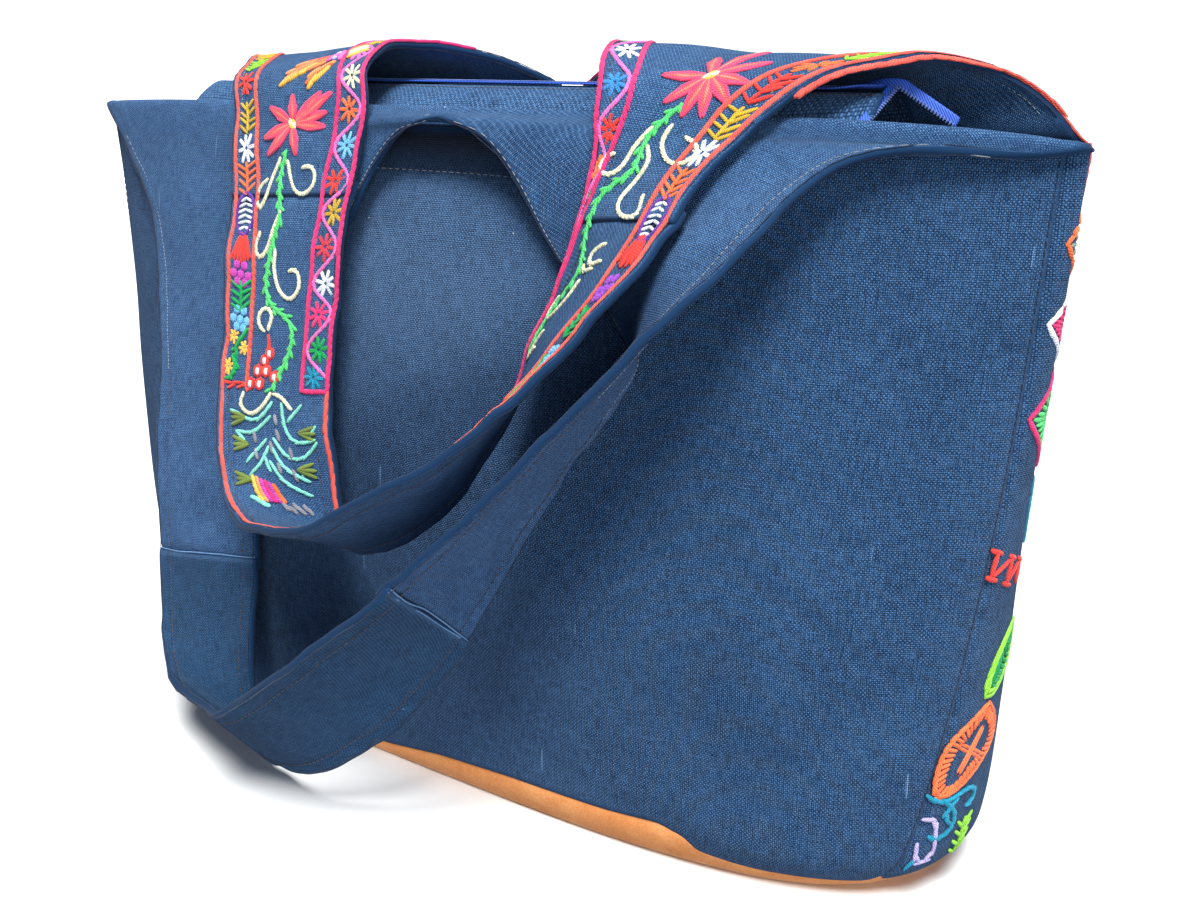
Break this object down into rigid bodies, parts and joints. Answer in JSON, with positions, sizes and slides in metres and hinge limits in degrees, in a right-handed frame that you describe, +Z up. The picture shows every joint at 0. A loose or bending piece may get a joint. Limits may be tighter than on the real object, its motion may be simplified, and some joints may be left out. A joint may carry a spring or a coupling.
{
  "type": "embroidered shoulder bag",
  "caption": "Navy canvas shoulder bag on a suede base, with a zipped mouth, tapering side gussets and wide integral handles that flop forward, embroidered with flowers and vines.",
  "frame": {"origin": "centre of the base's resting face, on the floor", "axes": "+X to the right along the bag's width, seen from its plain side; -Y toward a viewer of the plain side; +Z up"},
  "size_m": [0.491, 0.2117, 0.3127],
  "materials": {
    "canvas": "hand-woven cotton canvas, indigo navy, matt and slubby",
    "handle_canvas": "doubled navy canvas with topstitched hems, worn pale at the cross seams",
    "embroidered_canvas": "doubled navy canvas embroidered with thick coloured yarn",
    "suede": "tan suede with a short nap",
    "zip_tape": "violet-blue woven zip tape with coil teeth",
    "slider": "dull metal"
  },
  "bodies": {
    "root": {"front_panel": "canvas", "back_panel": "canvas", "side_gusset_left": "canvas", "side_gusset_right": "canvas", "base": "suede", "front_yoke": "handle_canvas", "front_strap": "handle_canvas", "back_yoke": "embroidered_canvas", "back_strap": "embroidered_canvas", "zip_placket_front": "canvas", "zip_placket_back": "canvas", "zip_tape_front": "zip_tape", "zip_tape_back": "zip_tape", "zip_slider": "slider"}
  },
  "joints": []
}
